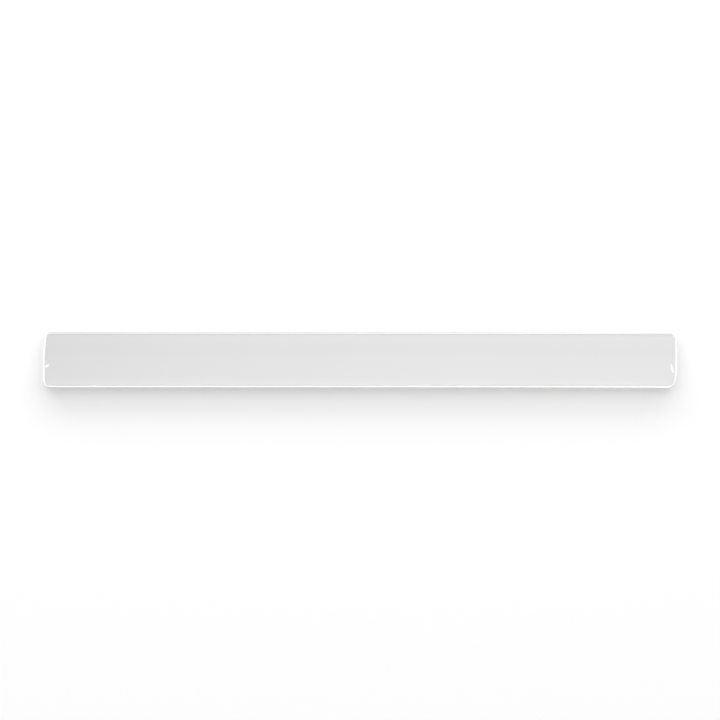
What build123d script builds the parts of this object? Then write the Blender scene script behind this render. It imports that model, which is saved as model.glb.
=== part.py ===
from build123d import *
import math
import os

# Slim porcelain trim tile (a liner), dry-pressed, glazed and fired as one piece.
# It lies on its back with the glazed face up: X runs along the tile, Y across it, and Z up from the bed.
# The origin is on the bed, under the middle of the tile. All lengths are millimetres, angles degrees.

# Overall size
LENGTH = 304.0  # over the middles of the two bowed ends
WIDTH = 26.6  # across the upright band of the sides
THICKNESS = 9.0  # from the bed to the crest of the face

# Outline seen from above
END_BOW = 0.6  # how far the middle of each end stands out from its corners
CORNER_RADIUS = 3.0

# Section of the glazed face and the sides
FACE_CROWN = 0.45  # rise of the face from its long edges to its centre line
EDGE_RADIUS = 1.5  # round-over that the glaze runs across, all the way round
DIE_BAND = 4.0  # height of the upright band that the die forms, from the bed up
SIDE_LEAN = 6.0  # how far the sides lean in above the band, from upright
BACK_ARRIS = 0.6  # radius of the soft edge round the back

# Keys pressed into the back, which the tile adhesive fills
KEY_WIDTH = 3.0
KEY_DEPTH = 0.8
KEY_LAND = 3.0  # flat rib between two keys
KEY_SIDE_MARGIN = 2.4  # least flat left along each long side
KEY_END_MARGIN = 9.0  # flat left at each end
KEY_DRAFT = 30.0  # lean of the keys' walls, so that the punch lets go


def tile_outline():
    """The outline at the band: straight long sides, bowed ends and rounded corners."""
    half_width = WIDTH / 2
    end_middle = LENGTH / 2
    end_corner = end_middle - END_BOW
    lower_side = Line((-end_corner, -half_width), (end_corner, -half_width))
    right_end = ThreePointArc(
        (end_corner, -half_width), (end_middle, 0), (end_corner, half_width)
    )
    upper_side = Line((end_corner, half_width), (-end_corner, half_width))
    left_end = ThreePointArc(
        (-end_corner, half_width), (-end_middle, 0), (-end_corner, -half_width)
    )
    outline = make_face(lower_side + right_end + upper_side + left_end)
    return fillet(outline.vertices(), CORNER_RADIUS)


def crown_prism():
    """A bar along X whose top is the crowned face. What lies above it comes off the pressed blank."""
    reach = WIDTH  # wider than the tile, so that the arc runs past both sides
    crown_radius = ((WIDTH / 2) ** 2 + FACE_CROWN**2) / (2 * FACE_CROWN)
    drop_at_reach = crown_radius - math.sqrt(crown_radius**2 - reach**2)
    shoulder = THICKNESS - drop_at_reach
    crown = ThreePointArc((-reach, shoulder), (0, THICKNESS), (reach, shoulder))
    wall_and_base = Polyline((reach, shoulder), (reach, 0), (-reach, 0), (-reach, shoulder))
    section = Plane.YZ * make_face(crown + wall_and_base)
    return extrude(section, LENGTH, both=True)


def pressed_blank():
    """The tile with its crowned face and soft edges, before the back is keyed."""
    outline = tile_outline()
    band = extrude(outline, DIE_BAND)
    leaning_part = extrude(Pos(0, 0, DIE_BAND) * outline, THICKNESS - DIE_BAND, taper=SIDE_LEAN)
    blank = (band + leaning_part) & crown_prism()
    face = blank.faces().sort_by(Axis.Z)[-1]
    blank = fillet(face.edges(), EDGE_RADIUS)
    back = blank.faces().sort_by(Axis.Z)[0]
    return fillet(back.edges(), BACK_ARRIS)


def key_offsets():
    """Distances of the keys from the centre line, on one side of the flat rib that runs along it."""
    pitch = KEY_WIDTH + KEY_LAND
    room = WIDTH / 2 - KEY_SIDE_MARGIN - KEY_LAND / 2
    keys_on_a_side = int((room + KEY_LAND) // pitch)
    return [KEY_LAND / 2 + KEY_WIDTH / 2 + pitch * place for place in range(keys_on_a_side)]


def back_keys():
    """The keys as solids to cut away: round-ended grooves along the back that narrow as they go in."""
    groove = SlotOverall(LENGTH - 2 * KEY_END_MARGIN, KEY_WIDTH)
    key = extrude(groove, KEY_DEPTH, taper=KEY_DRAFT)
    return [Pos(0, side * offset, 0) * key for offset in key_offsets() for side in (-1, 1)]


def trim_tile():
    """The whole tile as one solid."""
    return pressed_blank() - back_keys()


os.makedirs("parts", exist_ok=True)
export_step(trim_tile(), "parts/trim_tile.step")
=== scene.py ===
import math

import bmesh
import bpy
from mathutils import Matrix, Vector


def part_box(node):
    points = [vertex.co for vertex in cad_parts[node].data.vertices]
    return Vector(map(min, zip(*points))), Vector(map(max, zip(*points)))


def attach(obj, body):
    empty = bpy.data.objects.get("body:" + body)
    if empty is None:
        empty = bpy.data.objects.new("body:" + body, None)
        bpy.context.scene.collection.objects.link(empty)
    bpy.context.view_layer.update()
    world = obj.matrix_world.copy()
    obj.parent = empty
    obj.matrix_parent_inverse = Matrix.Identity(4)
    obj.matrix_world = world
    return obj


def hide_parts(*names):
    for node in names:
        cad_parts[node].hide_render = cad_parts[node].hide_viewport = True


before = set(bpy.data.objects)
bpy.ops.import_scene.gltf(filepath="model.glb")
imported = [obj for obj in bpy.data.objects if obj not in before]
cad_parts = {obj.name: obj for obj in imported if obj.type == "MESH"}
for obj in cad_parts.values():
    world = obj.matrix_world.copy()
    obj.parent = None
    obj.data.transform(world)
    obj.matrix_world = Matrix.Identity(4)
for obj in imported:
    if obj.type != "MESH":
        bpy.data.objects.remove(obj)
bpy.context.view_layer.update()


# Trim tile.
# A slim bar of porcelain, pressed in a steel die, sprayed with white glaze and fired once, so that it is
# one piece. The glaze ends in a wavy lip on the sides. Below that the body is bare, and the back has
# pressed keys for the adhesive that holds the tile to its wall.
MM = 0.001
TINY = 0.01 * MM
tile_low, tile_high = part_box("trim_tile")
tile_length = tile_high.x - tile_low.x
tile_width = tile_high.y - tile_low.y
tile_height = tile_high.z - tile_low.z

# The two ends came out of the kiln a little unlike: each has its own bow, crest of the bow, and corners
left, right = -1, 1
front, back = -1, 1
end_bows = {left: 1.1 * MM, right: 1.7 * MM}
end_crests = {left: (-6.0 * MM, -1.0 * MM), right: (-4.0 * MM, tile_width / 2)}
crest_reaches = {
    end: max(tile_width / 2 + front_limit, tile_width / 2 - back_limit)
    for end, (front_limit, back_limit) in end_crests.items()
}
corner_radii = {
    (left, front): 3.1 * MM,
    (left, back): 1.7 * MM,
    (right, front): 2.5 * MM,
    (right, back): 2.5 * MM,
}
camber = 0.13 * MM

face_crown = 0.45 * MM
edge_radius = 1.5 * MM
side_lean = math.radians(6.0)
band_top = 4.0 * MM
glaze_lip = 2.7 * MM
glaze_thickness = 0.18 * MM
back_arris = 0.6 * MM

rim_height = tile_height - face_crown
lean_inset = math.tan(side_lean) * (rim_height - band_top)
edge_reach = edge_radius * math.tan((math.pi / 2 - side_lean) / 2)
straight_length = tile_length - end_bows[left] - end_bows[right]
straight_middle = (end_bows[left] - end_bows[right]) / 2
sheet_length = straight_length - 2 * lean_inset
sheet_width = tile_width - 2 * lean_inset
row_pitch = 1.5 * MM
row_margin = max(corner_radii.values()) + max(end_bows.values())
sharp_angle = math.radians(60)
smooth_angle = math.radians(35)


def pick(kind, wanted):
    """Select, in edit mode, only the vertices, edges or faces that pass a test."""
    bpy.ops.mesh.select_mode(type=kind)
    bpy.ops.mesh.select_all(action="DESELECT")
    mesh = bmesh.from_edit_mesh(bpy.context.edit_object.data)
    elements = {"VERT": mesh.verts, "EDGE": mesh.edges, "FACE": mesh.faces}[kind]
    for element in filter(wanted, elements):
        element.select_set(True)
    mesh.select_flush_mode()
    bmesh.update_edit_mesh(bpy.context.edit_object.data)


def cut_rows(reach, direction):
    """Cut the sheet across a direction, in rows about a pitch apart, with one row on the middle."""
    half_count = round(reach / row_pitch)
    for row in range(-half_count, half_count + 1):
        bpy.ops.mesh.select_all(action="SELECT")
        bpy.ops.mesh.bisect(plane_co=direction * (reach * row / half_count), plane_no=direction)


def drop_rim(height, inset_before, inset_after):
    """Extrude the selected rim down to a level ring, at a new inset from the outline of the tile."""
    middle = (straight_middle, 0, height)
    bpy.ops.mesh.extrude_region_move()
    bpy.ops.transform.resize(value=(1, 1, 0), center_override=middle)
    stretch_x = (straight_length - 2 * inset_after) / (straight_length - 2 * inset_before)
    stretch_y = (tile_width - 2 * inset_after) / (tile_width - 2 * inset_before)
    bpy.ops.transform.resize(value=(stretch_x, stretch_y, 1), center_override=middle)


def pull(offset, reach):
    """Move the selected points, and drag what is in view along in a parabola that ends at the reach."""
    bpy.ops.transform.translate(
        value=offset,
        use_proportional_edit=True,
        proportional_edit_falloff="INVERSE_SQUARE",
        proportional_size=reach,
    )


def round_over(tangent_length, segments):
    """Bevel the selected edges to a round of that tangent length."""
    bpy.ops.mesh.bevel(offset=tangent_length, segments=segments, profile=0.5, clamp_overlap=False)


# The face starts as a flat sheet with rounded corners, cut into rows
bpy.ops.object.select_all(action="DESELECT")
bpy.ops.mesh.primitive_plane_add(size=1, location=(straight_middle, 0, rim_height))
tile = bpy.context.active_object
tile.name = "glazed_trim_tile"
tile.scale = (sheet_length, sheet_width, 1)
bpy.ops.object.transform_apply()
bpy.ops.object.mode_set(mode="EDIT")
for (end, side), radius in corner_radii.items():
    corner = Vector((straight_middle + end * sheet_length / 2, side * sheet_width / 2, rim_height))
    pick("VERT", lambda vert: (vert.co - corner).length < TINY)
    bpy.ops.mesh.bevel(affect="VERTICES", offset=radius, segments=10, profile=0.5)
cut_rows(tile_length / 2 - row_margin, Vector((1, 0, 0)))
cut_rows(tile_width / 2 - row_margin, Vector((0, 1, 0)))

# The sides lean out under the face and stand upright below, and the glaze stands out above its lip
pick("EDGE", lambda edge: edge.is_boundary)
drop_rim(band_top, lean_inset, 0)
drop_rim(glaze_lip, 0, 0)
drop_rim(glaze_lip - glaze_thickness, 0, glaze_thickness)
drop_rim(0, glaze_thickness, glaze_thickness)
bpy.ops.mesh.edge_face_add()
bpy.ops.mesh.select_all(action="SELECT")
bpy.ops.mesh.normals_make_consistent()

# Rounds: the edge of the face, the lip of the glaze and the edge of the back
pick("EDGE", lambda edge: edge.calc_face_angle(0) > sharp_angle and edge.verts[0].co.z > rim_height - TINY)
round_over(edge_reach, segments=10)
pick("EDGE", lambda edge: all(abs(vert.co.z - glaze_lip) < TINY for vert in edge.verts))
round_over(glaze_thickness / 2, segments=2)
pick("EDGE", lambda edge: all(vert.co.z < TINY for vert in edge.verts))
round_over(back_arris, segments=4)

# The crown lifts the face alone, with the sides hidden
pick("FACE", lambda face: face.calc_center_median().z < rim_height - edge_reach)
bpy.ops.mesh.hide()
pick("VERT", lambda vert: abs(vert.co.y) < TINY and vert.co.z > rim_height - TINY)
pull((0, 0, face_crown), sheet_width / 2)
bpy.ops.mesh.reveal(select=False)

# The bow carries each end out, most at its crest
for end, (front_limit, back_limit) in end_crests.items():
    end_start = end * straight_middle + sheet_length / 2 - edge_reach - TINY
    pick("VERT", lambda vert: end * vert.co.x > end_start and front_limit < vert.co.y < back_limit)
    pull((end * end_bows[end], 0, 0), crest_reaches[end])
bpy.ops.object.mode_set(mode="OBJECT")

# Keys: round-ended grooves that the punch presses into the back
key_width = 3.0 * MM
key_depth = 0.8 * MM
key_pitch = 6.0 * MM
key_end_margin = 9.0 * MM
key_draft = math.radians(30.0)
key_length = tile_length - 2 * key_end_margin
key_narrowing = 2 * key_depth * math.tan(key_draft)
key_places = [key_pitch * step for step in (-1.5, -0.5, 0.5, 1.5)]


def punch_rib(place):
    """One rib of the punch, as deep below the back as its key is in it, narrowing as it goes in."""
    bpy.ops.object.select_all(action="DESELECT")
    bpy.ops.mesh.primitive_cube_add(size=1, location=(0, place, 0))
    rib = bpy.context.active_object
    rib.scale = (key_length, key_width, 2 * key_depth)
    bpy.ops.object.transform_apply()
    bpy.ops.object.mode_set(mode="EDIT")
    pick("EDGE", lambda edge: abs(edge.verts[0].co.z - edge.verts[1].co.z) > key_depth)
    round_over(key_width / 2 - TINY, segments=8)
    for side in (-1, 1):
        pick("FACE", lambda face: side * face.calc_center_median().z > key_depth - TINY)
        shrink = (1 - side * key_narrowing / key_length, 1 - side * key_narrowing / key_width, 1)
        bpy.ops.transform.resize(value=shrink, center_override=(0, place, 0))
    pick("EDGE", lambda edge: all(vert.co.z > key_depth - TINY for vert in edge.verts))
    round_over(key_depth / 4, segments=3)
    bpy.ops.object.mode_set(mode="OBJECT")
    return rib


def apply_modifier(kind, **settings):
    """Add a modifier to the tile, set it up and apply it."""
    bpy.ops.object.select_all(action="DESELECT")
    bpy.context.view_layer.objects.active = tile
    tile.select_set(True)
    modifier = tile.modifiers.new(kind.lower(), kind)
    for name, value in settings.items():
        setattr(modifier, name, value)
    bpy.ops.object.modifier_apply(modifier=modifier.name)


for place in key_places:
    rib = punch_rib(place)
    apply_modifier("BOOLEAN", operation="DIFFERENCE", object=rib)
    bpy.data.objects.remove(rib)

# The finishes are all made of nodes, which these add and connect
usual_low, usual_high = 0.3, 0.7


def add_node(tree, kind, inputs=(), **settings):
    """Add a node, set its options, and fill its inputs with plain values or with outputs of other nodes."""
    node = tree.nodes.new(kind)
    for name, value in settings.items():
        setattr(node, name, value)
    for name, value in dict(inputs).items():
        if isinstance(value, bpy.types.NodeSocket):
            tree.links.new(value, node.inputs[name])
        else:
            node.inputs[name].default_value = value
    return node


def calculate(tree, operation, *values):
    """The result of a sum, product or other step on values that change over the surface."""
    return add_node(tree, "ShaderNodeMath", enumerate(values), operation=operation).outputs[0]


def carry(tree, value, from_low, from_high, to_low, to_high):
    """A value carried from one range to another, and held at its ends."""
    inputs = {0: value, 1: from_low, 2: from_high, 3: to_low, 4: to_high}
    return add_node(tree, "ShaderNodeMapRange", inputs).outputs[0]


def follow(tree, noise, at_low, at_high):
    """A value that goes from one figure to another as a noise goes from its usual low to its usual high."""
    return carry(tree, noise, usual_low, usual_high, at_low, at_high)


def blend(tree, share, first, second):
    """A value that goes from the first to the second as the share goes from nought to one."""
    return add_node(tree, "ShaderNodeMix", {"Factor": share, "A": first, "B": second}).outputs[0]


# The kiln leaves soft clouds of tone and a fine grain in the glaze, in the slip and in the bare body
fired_surface = bpy.data.node_groups.new("fired_surface", "ShaderNodeTree")
for socket in ("Cloud Scale", "Grain Scale"):
    fired_surface.interface.new_socket(socket, in_out="INPUT", socket_type="NodeSocketFloat")
for socket in ("Clouds", "Grain"):
    fired_surface.interface.new_socket(socket, in_out="OUTPUT", socket_type="NodeSocketFloat")
given = add_node(fired_surface, "NodeGroupInput")
place = add_node(fired_surface, "ShaderNodeTexCoord").outputs["Object"]
found = {}
for socket, scale, detail in (("Clouds", "Cloud Scale", 3.0), ("Grain", "Grain Scale", 4.0)):
    inputs = {"Vector": place, "Scale": given.outputs[scale], "Detail": detail}
    found[socket] = add_node(fired_surface, "ShaderNodeTexNoise", inputs).outputs["Fac"]
add_node(fired_surface, "NodeGroupOutput", found)


def new_finish(name, cloud_scale, grain_scale):
    """A material with the fired surface in it, at this finish's own scales."""
    finish = bpy.data.materials.new(name)
    finish.use_nodes = True
    surface = add_node(finish.node_tree, "ShaderNodeGroup", node_tree=fired_surface)
    surface.inputs["Cloud Scale"].default_value = cloud_scale
    surface.inputs["Grain Scale"].default_value = grain_scale
    return finish, surface.outputs["Clouds"], surface.outputs["Grain"]


def finish_shader(finish, colour, roughness, relief, relief_strength, relief_height):
    """Connect a finish's colour, roughness and relief to its shader."""
    tree = finish.node_tree
    shader = tree.nodes["Principled BSDF"]
    inputs = {"Height": relief, "Strength": relief_strength, "Distance": relief_height}
    bump = add_node(tree, "ShaderNodeBump", inputs)
    tree.links.new(colour, shader.inputs["Base Color"])
    tree.links.new(roughness, shader.inputs["Roughness"])
    tree.links.new(bump.outputs["Normal"], shader.inputs["Normal"])


# White glaze: even and glossy. Its colour carries painted light: a painted highlight in white over the
# front edge and the ends, painted shade beside the back edge, on the sides and to the left, and a little
# painted light at the front.
glaze, clouds, grain = new_finish("white_glaze", cloud_scale=28.0, grain_scale=150.0)
tree = glaze.node_tree
place = add_node(tree, "ShaderNodeTexCoord").outputs["Object"]
along = add_node(tree, "ShaderNodeSeparateXYZ", {0: place})
x, y, z = along.outputs["X"], along.outputs["Y"], along.outputs["Z"]

# How far a point lies in from the outline, with the camber taken out and each end's own bow and corners
middle_reach = 1 * MM
camber_share = calculate(tree, "POWER", calculate(tree, "DIVIDE", x, tile_length / 2), 2.0)
y = calculate(tree, "MULTIPLY_ADD", camber_share, camber, calculate(tree, "SUBTRACT", y, camber / 2))


def by_end(at_left, at_right):
    """A value that the two ends of the tile don't share, and that changes over at the middle."""
    return carry(tree, x, -middle_reach, middle_reach, at_left, at_right)


front_corner = by_end(corner_radii[left, front], corner_radii[right, front])
back_corner = by_end(corner_radii[left, back], corner_radii[right, back])
corner = carry(tree, y, -middle_reach, middle_reach, front_corner, back_corner)
before_crest = calculate(tree, "SUBTRACT", by_end(end_crests[left][0], end_crests[right][0]), y)
behind_crest = calculate(tree, "SUBTRACT", y, by_end(end_crests[left][1], end_crests[right][1]))
past_crest = calculate(tree, "MAXIMUM", calculate(tree, "MAXIMUM", before_crest, behind_crest), 0.0)
crest_reach = by_end(crest_reaches[left], crest_reaches[right])
bow_share = calculate(tree, "POWER", calculate(tree, "DIVIDE", past_crest, crest_reach), 2.0)
bow = by_end(end_bows[left], end_bows[right])
unbowed_x = calculate(tree, "MULTIPLY_ADD", bow_share, bow, calculate(tree, "ABSOLUTE", x))
past_x = calculate(tree, "ADD", calculate(tree, "SUBTRACT", unbowed_x, tile_length / 2), corner)
from_middle_y = calculate(tree, "ABSOLUTE", y)
past_y = calculate(tree, "ADD", calculate(tree, "SUBTRACT", from_middle_y, tile_width / 2), corner)
outside = add_node(tree, "ShaderNodeCombineXYZ", {"X": past_x, "Y": past_y}).outputs[0]
outside = add_node(tree, "ShaderNodeVectorMath", {0: outside}, operation="MAXIMUM").outputs[0]
outside = add_node(tree, "ShaderNodeVectorMath", {0: outside}, operation="LENGTH").outputs["Value"]
inside = calculate(tree, "MINIMUM", calculate(tree, "MAXIMUM", past_x, past_y), 0.0)
from_edge = calculate(tree, "SUBTRACT", calculate(tree, "SUBTRACT", corner, outside), inside)

# Shares of each part of the tile in a point: its ends, its long edges, its sides, and left to right
end_change = 1 * MM
front_start, front_full = -0.30 * tile_width, -0.465 * tile_width
back_start, back_full = 0.42 * tile_width, 0.465 * tile_width
corner_change = 0.5 * MM
side_full, side_start = 7.0 * MM, 7.3 * MM
at_end = carry(tree, calculate(tree, "SUBTRACT", past_x, past_y), -end_change, end_change, 0.0, 1.0)
at_front = carry(tree, y, front_start, front_full, 0.0, 1.0)
before_corner = carry(tree, past_x, -corner_change, corner_change, 1.0, 0.0)
at_back = calculate(tree, "MULTIPLY", carry(tree, y, back_start, back_full, 0.0, 1.0), before_corner)
on_side = carry(tree, z, side_full, side_start, 1.0, 0.0)
rightward = carry(tree, x, -tile_length / 2, tile_length / 2, 0.0, 1.0)
backward = carry(tree, y, -tile_width / 2, tile_width / 2, 0.0, 1.0)


def along_tile(values):
    """A value that goes evenly from the left end of the tile to the right."""
    return blend(tree, rightward, values[left], values[right])


# The white edge: a painted highlight over the round of the edge and down the sides, with a wavering border
# on the face
narrow_highlight, wide_highlight = 0.72 * MM, 0.76 * MM
right_widening = 0.1 * MM
end_widenings = {left: 0.52 * MM, right: 0.42 * MM}
back_widening = -0.2 * MM
highlight_border = 0.06 * MM
highlight_feet = {left: 7.3 * MM, right: 6.0 * MM}
foot_border = 0.4 * MM
highlight_reach = follow(tree, grain, narrow_highlight, wide_highlight)
highlight_reach = calculate(tree, "MULTIPLY_ADD", rightward, right_widening, highlight_reach)
highlight_reach = calculate(tree, "MULTIPLY_ADD", at_end, along_tile(end_widenings), highlight_reach)
highlight_reach = calculate(tree, "MULTIPLY_ADD", at_back, back_widening, highlight_reach)
highlight_end = calculate(tree, "ADD", highlight_reach, highlight_border)
highlight_foot = along_tile(highlight_feet)
above_foot = carry(tree, z, highlight_foot, calculate(tree, "ADD", highlight_foot, foot_border), 0.0, 1.0)
painted_edge_highlight = calculate(tree, "MULTIPLY", carry(tree, from_edge, highlight_reach, highlight_end, 1.0, 0.0), above_foot)

# Painted light and shade on the face: greyer to the left and to the back, and along a faint painted streak
# of shade.
# The clouds are the glaze's own random tone.
painted_light_along = {left: 0.931, right: 1.025}
painted_light_across = {front: 1.05, back: 0.985}
streak_place = 5.2 * MM
streak_reach = 5.0 * MM
streak_shade_tone = 0.983
cloud_tone = 0.99
leftward = calculate(tree, "POWER", calculate(tree, "SUBTRACT", 1.0, rightward), 3.0)
shade_along_tile = blend(tree, leftward, painted_light_along[right], painted_light_along[left])
shade_across_tile = blend(tree, backward, painted_light_across[front], painted_light_across[back])
painted_face_shade = calculate(tree, "MULTIPLY", shade_along_tile, shade_across_tile)
from_streak = calculate(tree, "ABSOLUTE", calculate(tree, "SUBTRACT", y, streak_place))
painted_streak = carry(tree, from_streak, 0.0, streak_reach, streak_shade_tone, 1.0)
painted_streak_and_clouds = calculate(tree, "MULTIPLY", painted_streak, follow(tree, clouds, cloud_tone, 1.0))

# Painted light and shade near each edge and on each side, against the tone of the face: lighter along the
# front edge, a darker line inside its white edge, darker beside the back edge and the ends, and darker
# sides.
front_painted_light = {left: 1.045, right: 1.025}
front_border_shade = 0.95
front_border_start, front_border_end = 1.1 * MM, 1.35 * MM
back_edge_shade = 0.67
end_edge_shade = 0.965
end_shade_start, end_shade_end = 1.2 * MM, 3.0 * MM
front_side_shades = {left: 0.72, right: 0.82}
back_side_shade = 0.57
end_side_shade = 0.7
front_border_shading = carry(tree, from_edge, front_border_start, front_border_end, front_border_shade, 1.0)
front_edge_shading = calculate(tree, "MULTIPLY", blend(tree, at_front, 1.0, along_tile(front_painted_light)), front_border_shading)
long_edge_shading = blend(tree, at_back, front_edge_shading, back_edge_shade)
end_edge_shading = carry(tree, from_edge, end_shade_start, end_shade_end, end_edge_shade, 1.0)
long_side_shading = blend(tree, at_back, along_tile(front_side_shades), back_side_shade)
side = blend(tree, at_end, long_side_shading, end_side_shade)
painted_edge_and_side_shade = blend(tree, on_side, blend(tree, at_end, long_edge_shading, end_edge_shading), side)

# The tone and the gloss, with the painted highlight of the white edges over them
face_white = 0.745
highlight_white = 0.97
back_highlight_whites = {left: 0.95, right: 0.68}
gloss_low, gloss_high = 0.06, 0.09
back_side_roughness = 0.7
tone = calculate(tree, "MULTIPLY", calculate(tree, "MULTIPLY", painted_face_shade, painted_streak_and_clouds), painted_edge_and_side_shade)
tone = calculate(tree, "MULTIPLY", tone, face_white)
tone = blend(tree, painted_edge_highlight, tone, blend(tree, at_back, highlight_white, along_tile(back_highlight_whites)))
on_back_side = calculate(tree, "MULTIPLY", on_side, at_back)
gloss = blend(tree, on_back_side, follow(tree, clouds, gloss_low, gloss_high), back_side_roughness)
finish_shader(glaze, tone, gloss, grain, relief_strength=0.03, relief_height=0.3 * MM)

# Bare porcelain: matt, pale buff and finely grained, with a dusting of kiln wash on the lands of the back
bare, clouds, grain = new_finish("bare_porcelain", cloud_scale=45.0, grain_scale=1400.0)
body_colour = (0.64, 0.63, 0.61)
wash_colour = (0.80, 0.80, 0.795, 1)
wash_cover = 0.8
wash_low, wash_high = 0.42, 0.62
land_top, land_end = 0.05 * MM, 0.3 * MM
tree = bare.node_tree
shade = follow(tree, grain, 0.92, 1.0)
body_inputs = {0: body_colour, "Scale": shade}
body = add_node(tree, "ShaderNodeVectorMath", body_inputs, operation="SCALE").outputs[0]
place = add_node(tree, "ShaderNodeTexCoord").outputs["Object"]
height = add_node(tree, "ShaderNodeSeparateXYZ", {0: place}).outputs["Z"]
on_land = carry(tree, height, land_top, land_end, 1.0, 0.0)
dusting = calculate(tree, "MULTIPLY", on_land, carry(tree, clouds, wash_low, wash_high, 0.0, wash_cover))
dusted = add_node(tree, "ShaderNodeMix", {"Factor": dusting, 6: body, 7: wash_colour}, data_type="RGBA")
dryness = follow(tree, grain, 0.92, 0.8)
finish_shader(bare, dusted.outputs[2], dryness, grain, relief_strength=0.15, relief_height=0.3 * MM)

# White slip in two small nicks near the ends: its near-white tone is a painted glint, two small painted
# highlights
glint_slip, clouds, grain = new_finish("white_slip_painted_glint", cloud_scale=300.0, grain_scale=1800.0)
tree = glint_slip.node_tree
glint_slip_tone = follow(tree, grain, 0.95, 0.98)
slip_dryness = follow(tree, clouds, 0.5, 0.65)
finish_shader(glint_slip, glint_slip_tone, slip_dryness, grain, relief_strength=0.1, relief_height=0.1 * MM)
nick_depth = 0.12 * MM
left_nick = {
    "middle": Vector((-149.45, -2.65, 0)) * MM,
    "length": 2.3 * MM,
    "width": 1.3 * MM,
    "turn": math.radians(55),
}
right_nick = {
    "middle": Vector((149.15, -3.85, 0)) * MM,
    "length": 4.9 * MM,
    "width": 1.1 * MM,
    "turn": math.radians(-77),
}


def nick_cutter(middle, length, width, turn):
    """A flat bean of the nick's size and turn, half sunk into the face and coated with slip, whose white is
    a painted glint.
    """
    level = rim_height + face_crown * (1 - (middle.y / (sheet_width / 2)) ** 2)
    bpy.ops.object.select_all(action="DESELECT")
    bpy.ops.mesh.primitive_uv_sphere_add(segments=32, ring_count=12, location=(middle.x, middle.y, level))
    bean = bpy.context.active_object
    bean.scale = (length / 2, width / 2, nick_depth)
    bean.rotation_euler = (0, 0, turn)
    bpy.ops.object.transform_apply()
    bean.data.materials.append(glint_slip)
    return bean


tile.data.materials.append(glaze)
tile.data.materials.append(bare)
for nick in (left_nick, right_nick):
    bean = nick_cutter(**nick)
    apply_modifier("BOOLEAN", operation="DIFFERENCE", object=bean, material_mode="TRANSFER")
    bpy.data.objects.remove(bean)

# Bare faces: all that lies below the lip of the glaze
bare_top = glaze_lip - glaze_thickness
bpy.ops.object.mode_set(mode="EDIT")
pick("FACE", lambda face: all(vert.co.z < bare_top + TINY for vert in face.verts))
tile.active_material_index = 1
bpy.ops.object.material_slot_assign()

# Firing: the glaze settles into a wavy lip and a very slightly uneven skin
lip_wave = bpy.data.textures.new("lip_wave", "CLOUDS")
lip_wave.noise_scale = 16.0 * MM
lip_rise = 1.8 * MM
skin_wave = bpy.data.textures.new("skin_wave", "CLOUDS")
skin_wave.noise_scale = 24.0 * MM
skin_rise = 0.05 * MM
pick("VERT", lambda vert: abs(vert.co.z - glaze_lip) < glaze_thickness + TINY)
bpy.ops.object.vertex_group_assign_new()
tile.vertex_groups.active.name = "lip"
pick("VERT", lambda vert: vert.co.z > band_top - TINY)
bpy.ops.object.vertex_group_assign_new()
tile.vertex_groups.active.name = "skin"
bpy.ops.object.mode_set(mode="OBJECT")
apply_modifier("DISPLACE", texture=lip_wave, direction="Z", strength=lip_rise, vertex_group="lip")
apply_modifier("DISPLACE", texture=skin_wave, direction="NORMAL", strength=skin_rise, vertex_group="skin")
tile.vertex_groups.clear()

# Cooling: the whole bar takes a slight camber, shared evenly between its middle and its ends
bpy.ops.object.mode_set(mode="EDIT")
bpy.ops.mesh.select_all(action="SELECT")
bpy.ops.transform.translate(value=(0, -camber / 2, 0))
pick("VERT", lambda vert: abs(vert.co.x) < TINY)
pull((0, camber, 0), tile_length / 2)
bpy.ops.object.mode_set(mode="OBJECT")
bpy.ops.object.shade_smooth_by_angle(angle=smooth_angle)
apply_modifier("WEIGHTED_NORMAL", keep_sharp=True)

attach(tile, "root")
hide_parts("trim_tile")


# Floor.
# A wide sheet of plain white paper that the tile lies on. It takes the soft shadow of the tile, and a faint
# glow of its own, which is seen but lights nothing, keeps the rest of it white.
paper_size = 6.0
paper_white = 0.95
paper_glow = 0.032
bpy.ops.object.select_all(action="DESELECT")
bpy.ops.mesh.primitive_plane_add(size=paper_size, location=(0, 0, 0))
floor = bpy.context.active_object
floor.name = "floor"
paper = bpy.data.materials.new("floor_paper")
paper.use_nodes = True
tree = paper.node_tree
tree.nodes.clear()
path = add_node(tree, "ShaderNodeLightPath").outputs
seen = calculate(tree, "ADD", path["Is Camera Ray"], path["Is Glossy Ray"])
seen = calculate(tree, "ADD", seen, path["Is Transmission Ray"])
glow = calculate(tree, "MULTIPLY", seen, paper_glow)
sheet = add_node(tree, "ShaderNodeBsdfDiffuse", {"Color": (paper_white, paper_white, paper_white, 1)})
light = add_node(tree, "ShaderNodeEmission", {"Strength": glow})
both = add_node(tree, "ShaderNodeAddShader", {0: sheet.outputs[0], 1: light.outputs[0]})
add_node(tree, "ShaderNodeOutputMaterial", {"Surface": both.outputs[0]})
floor.data.materials.append(paper)


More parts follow.
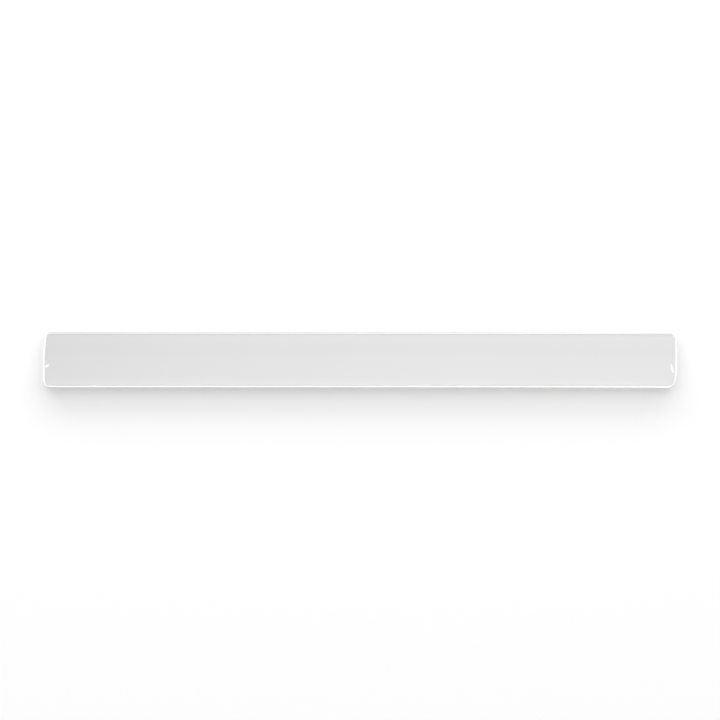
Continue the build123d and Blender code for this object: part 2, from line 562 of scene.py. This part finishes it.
# Studio lamps.
# A white tent all round, two softboxes behind the tile that throw its shadow forward, and three low cards
# that whiten its rim at the front and at the ends. The glaze doesn't mirror the lower softbox, so that the
# face keeps its tone from every side.
def add_softbox(name, place, aim, size, watts):
    """Hang a rectangular softbox that points at a place."""
    lamp = bpy.data.lights.new(name, "AREA")
    lamp.shape = "RECTANGLE"
    lamp.size, lamp.size_y = size
    lamp.energy = watts
    box = bpy.data.objects.new(name, lamp)
    bpy.context.scene.collection.objects.link(box)
    box.location = place
    box.rotation_euler = (Vector(aim) - Vector(place)).to_track_quat("-Z", "Y").to_euler()
    box.visible_camera = False
    return box


tile_middle = (0, 0, 0)
add_softbox("high_back_softbox", (0, 1.2, 1.93), aim=tile_middle, size=(4.8, 1.9), watts=28.0)
low_box = add_softbox("low_back_softbox", (0, 2.2, 0.95), aim=tile_middle, size=(4.8, 0.95), watts=43.5)
low_box.visible_glossy = False

card_height = 0.045
card_depth = 0.066
rim_aim = 0.005
front_aim = (0, 0, rim_aim)
left_aim = (-0.15, 0, rim_aim)
right_aim = (0.15, 0, rim_aim)
add_softbox("front_card", (0, -2.0, card_height), aim=front_aim, size=(4.0, card_depth), watts=30.0)
add_softbox("left_card", (-1.5, 0, card_height), aim=left_aim, size=(0.9, card_depth), watts=2.3)
add_softbox("right_card", (1.5, 0, card_height), aim=right_aim, size=(0.9, card_depth), watts=1.9)

tent_strength = 0.575
world = bpy.data.worlds.new("white_tent")
bpy.context.scene.world = world
world.use_nodes = True
tent = world.node_tree.nodes["Background"].inputs
tent["Color"].default_value = (1, 1, 1, 1)
tent["Strength"].default_value = tent_strength


# Camera.
# It looks straight down on the middle of the tile, turned a hair, with the length of the tile across most
# of the picture.
picture_share = 0.88
camera_height = 1.2
camera_turn = math.radians(0.05)
lens = bpy.data.cameras.new("camera")
lens.sensor_width = 36.0
lens.lens = lens.sensor_width * (camera_height - band_top) * picture_share / tile_length
camera = bpy.data.objects.new("camera", lens)
camera.location = (0, camber / 2, camera_height)
camera.rotation_euler = (0, 0, camera_turn)
bpy.context.scene.collection.objects.link(camera)
bpy.context.scene.camera = camera
bpy.context.scene.view_settings.view_transform = "Standard"
